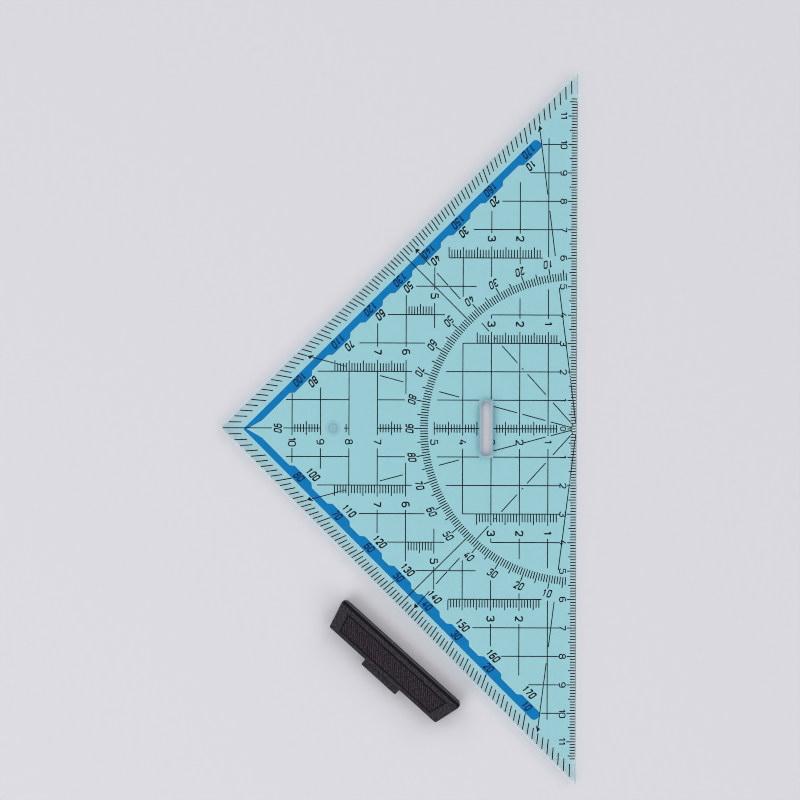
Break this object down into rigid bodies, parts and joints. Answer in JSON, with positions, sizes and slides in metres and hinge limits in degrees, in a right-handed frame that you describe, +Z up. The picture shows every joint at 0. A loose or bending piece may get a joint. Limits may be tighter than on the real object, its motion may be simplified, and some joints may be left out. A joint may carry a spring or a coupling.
{
  "type": "drafting triangle",
  "caption": "Clear 45 degree set square with a centre-zero millimetre scale, degree scales, ruled lines and a plug-in handle that lies beside it.",
  "frame": {"origin": "on the table, under the middle of the blade's plan box", "axes": "+X along the hypotenuse to the right as the scales read, +Y from the right-angled corner to the hypotenuse, +Z up out of the printed face"},
  "size_m": [0.25, 0.125, 0.007],
  "materials": {
    "clear_plastic": "polished clear turquoise",
    "handle_plastic": "fine textured black",
    "black_ink": "screen-printed film",
    "blue_ink": "screen-printed film"
  },
  "bodies": {
    "blade": {"blade": "clear_plastic", "edge_scale": "black_ink", "leg_degree_scale": "black_ink", "protractor_scale": "black_ink", "parallel_lines": "black_ink", "square_lines": "black_ink", "side_rules": "black_ink", "centre_scale": "black_ink", "angle_lines": "black_ink", "blue_band": "blue_ink"},
    "handle": {"handle": "handle_plastic"}
  },
  "joints": [
    {"name": "handle_lift", "type": "slide", "parent": "blade", "child": "handle", "axis": [0, 0, 1], "range_m": [0, 0.06]}
  ]
}
